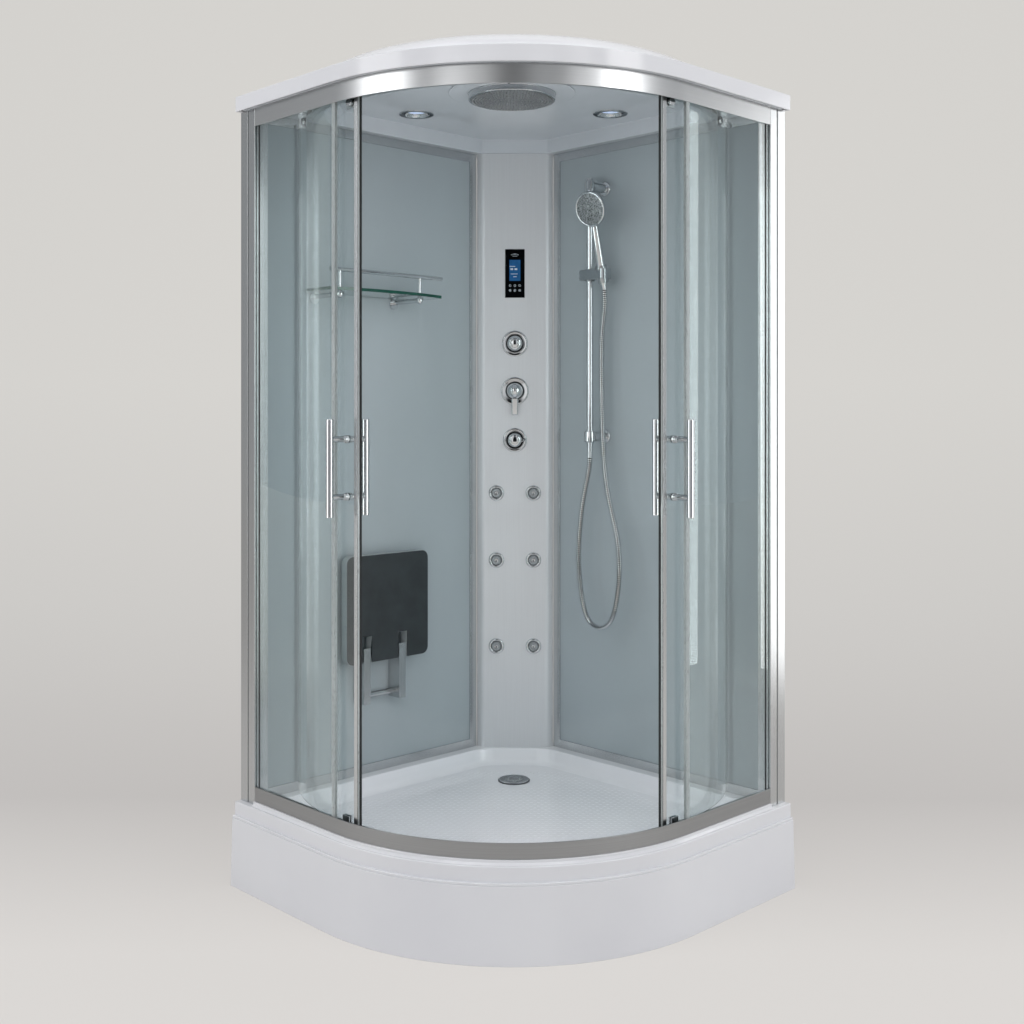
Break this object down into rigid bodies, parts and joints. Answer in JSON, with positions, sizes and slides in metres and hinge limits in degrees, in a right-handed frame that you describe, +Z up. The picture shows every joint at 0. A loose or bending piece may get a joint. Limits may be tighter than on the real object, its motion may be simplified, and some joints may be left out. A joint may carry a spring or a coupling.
{
  "type": "steam shower cabin",
  "caption": "Corner quadrant steam shower cabin with sliding curved glass doors, control column, rain head, hand shower, shelf and folding seat.",
  "frame": {"origin": "centre of the bounding box at the floor", "axes": "+Z up, +Y towards the back corner of the room, so the curved front faces -Y; X across, and the cabin's outline is symmetric about the YZ plane"},
  "size_m": [1.4142, 1.1656, 2.047],
  "materials": {
    "white_acrylic": "gloss",
    "galvanised_steel": "dull",
    "satin_aluminium": "satin",
    "column_aluminium": "brushed",
    "clear_glass": "polished",
    "painted_glass": "polished",
    "clear_seal": "clear vinyl",
    "black_rubber": "matte",
    "chrome": "polished",
    "white_nylon": "matte",
    "black_panel": "gloss",
    "grey_plastic": "matte",
    "brass": "machined",
    "slate_plastic": "satin"
  },
  "bodies": {
    "cabin": {"tray": "white_acrylic", "apron_panel": "white_acrylic", "tray_frame": "galvanised_steel", "levelling_feet": "galvanised_steel", "waste_trap": "white_acrylic", "wall_profiles": "satin_aluminium", "corner_posts": "satin_aluminium", "lower_rail": "satin_aluminium", "upper_rail": "satin_aluminium", "upper_track": "satin_aluminium", "left_fixed_glass": "clear_glass", "right_fixed_glass": "clear_glass", "edge_seals": "clear_seal", "front_gaskets": "black_rubber", "wall_frames": "satin_aluminium", "wall_glasses": "painted_glass", "column": "column_aluminium", "control_panel": "black_panel", "control_box": "grey_plastic", "knob_plates": "chrome", "water_valves": "brass", "jet_housings": "chrome", "steam_boiler": "galvanised_steel", "ceiling_panel": "white_acrylic", "rain_head": "chrome", "downlights": "chrome", "roof_cover": "white_acrylic", "riser_rail": "chrome", "shower_hose": "chrome", "shelf_glass": "clear_glass", "shelf_gallery": "chrome", "seat_bracket": "satin_aluminium"},
    "left_door": {"left_door_glass": "clear_glass", "left_door_edge": "satin_aluminium", "left_door_seals": "black_rubber", "left_door_handle": "chrome", "left_door_hangers": "chrome"},
    "left_lead_roller": {"left_lead_roller": "white_nylon"},
    "left_tail_roller": {"left_tail_roller": "white_nylon"},
    "right_door": {"right_door_glass": "clear_glass", "right_door_edge": "satin_aluminium", "right_door_seals": "black_rubber", "right_door_handle": "chrome", "right_door_hangers": "chrome"},
    "right_lead_roller": {"right_lead_roller": "white_nylon"},
    "right_tail_roller": {"right_tail_roller": "white_nylon"},
    "seat": {"seat_board": "slate_plastic"},
    "diverter_knob": {"diverter_knob": "chrome"},
    "flow_knob": {"flow_knob": "chrome"},
    "mixer_hub": {"mixer_hub": "chrome"},
    "mixer_lever": {"mixer_lever": "chrome"},
    "jet_nozzle_high_left": {"jet_nozzle_high_left": "chrome"},
    "jet_nozzle_high_right": {"jet_nozzle_high_right": "chrome"},
    "jet_nozzle_middle_left": {"jet_nozzle_middle_left": "chrome"},
    "jet_nozzle_middle_right": {"jet_nozzle_middle_right": "chrome"},
    "jet_nozzle_low_left": {"jet_nozzle_low_left": "chrome"},
    "jet_nozzle_low_right": {"jet_nozzle_low_right": "chrome"},
    "slider": {"rail_slider": "chrome", "hand_shower": "chrome"},
    "drain_cover": {"drain_cover": "chrome"}
  },
  "joints": [
    {"name": "left_door_slide", "type": "hinge", "parent": "cabin", "child": "left_door", "pos_m": [0, 0.01716, 0], "axis": [0, 0, 1], "range_deg": [0, 38.05]},
    {"name": "left_lead_roller_turn", "type": "hinge", "parent": "left_door", "child": "left_lead_roller", "pos_m": [-0.3539, -0.38005, 1.925], "axis": [-0.6652, -0.7466, 0], "range_deg": [-1915, 5]},
    {"name": "left_tail_roller_turn", "type": "hinge", "parent": "left_door", "child": "left_tail_roller", "pos_m": [-0.48676, -0.19753, 1.925], "axis": [-0.915, -0.4035, 0], "range_deg": [-1915, 5]},
    {"name": "right_door_slide", "type": "hinge", "parent": "cabin", "child": "right_door", "pos_m": [0, 0.01716, 0], "axis": [0, 0, 1], "range_deg": [-38.05, 0]},
    {"name": "right_lead_roller_turn", "type": "hinge", "parent": "right_door", "child": "right_lead_roller", "pos_m": [0.3539, -0.38005, 1.925], "axis": [0.6652, -0.7466, 0], "range_deg": [-5, 1915]},
    {"name": "right_tail_roller_turn", "type": "hinge", "parent": "right_door", "child": "right_tail_roller", "pos_m": [0.48676, -0.19753, 1.925], "axis": [0.915, -0.4035, 0], "range_deg": [-5, 1915]},
    {"name": "seat_fold", "type": "hinge", "parent": "cabin", "child": "seat", "pos_m": [-0.35461, 0.1257, 0.548], "axis": [0.7071, 0.7071, 0], "range_deg": [0, 90]},
    {"name": "diverter_knob_turn", "type": "hinge", "parent": "cabin", "child": "diverter_knob", "pos_m": [0, 0.40084, 1.389], "axis": [0, -1, 0], "range_deg": [-60, 60]},
    {"name": "flow_knob_turn", "type": "hinge", "parent": "cabin", "child": "flow_knob", "pos_m": [0, 0.40084, 1.1075], "axis": [0, -1, 0], "range_deg": [0, 90]},
    {"name": "mixer_turn", "type": "hinge", "parent": "cabin", "child": "mixer_hub", "pos_m": [0, 0.40084, 1.2506], "axis": [0, -1, 0], "range_deg": [-45, 45]},
    {"name": "mixer_lift", "type": "hinge", "parent": "mixer_hub", "child": "mixer_lever", "pos_m": [0, 0.38084, 1.2506], "axis": [-1, 0, 0], "range_deg": [0, 20]},
    {"name": "jet_nozzle_high_left_tilt", "type": "hinge", "parent": "cabin", "child": "jet_nozzle_high_left", "pos_m": [-0.054, 0.40084, 0.9527], "axis": [1, 0, 0], "range_deg": [-15, 15]},
    {"name": "jet_nozzle_high_right_tilt", "type": "hinge", "parent": "cabin", "child": "jet_nozzle_high_right", "pos_m": [0.054, 0.40084, 0.9527], "axis": [1, 0, 0], "range_deg": [-15, 15]},
    {"name": "jet_nozzle_middle_left_tilt", "type": "hinge", "parent": "cabin", "child": "jet_nozzle_middle_left", "pos_m": [-0.054, 0.40084, 0.757], "axis": [1, 0, 0], "range_deg": [-15, 15]},
    {"name": "jet_nozzle_middle_right_tilt", "type": "hinge", "parent": "cabin", "child": "jet_nozzle_middle_right", "pos_m": [0.054, 0.40084, 0.757], "axis": [1, 0, 0], "range_deg": [-15, 15]},
    {"name": "jet_nozzle_low_left_tilt", "type": "hinge", "parent": "cabin", "child": "jet_nozzle_low_left", "pos_m": [-0.054, 0.40084, 0.5058], "axis": [1, 0, 0], "range_deg": [-15, 15]},
    {"name": "jet_nozzle_low_right_tilt", "type": "hinge", "parent": "cabin", "child": "jet_nozzle_low_right", "pos_m": [0.054, 0.40084, 0.5058], "axis": [1, 0, 0], "range_deg": [-15, 15]},
    {"name": "slider_slide", "type": "slide", "parent": "cabin", "child": "slider", "axis": [0, 0, 1], "range_m": [-0.36, 0.185], "deforming": ["shower_hose"]},
    {"name": "drain_cover_lift", "type": "slide", "parent": "cabin", "child": "drain_cover", "axis": [0, 0, 1], "range_m": [0, 0.04]}
  ],
  "couplings": [
    {"joint": "left_lead_roller_turn", "follows": "left_door_slide", "ratio": -50.187},
    {"joint": "left_tail_roller_turn", "follows": "left_door_slide", "ratio": -50.187},
    {"joint": "right_lead_roller_turn", "follows": "right_door_slide", "ratio": -50.187},
    {"joint": "right_tail_roller_turn", "follows": "right_door_slide", "ratio": -50.187}
  ]
}
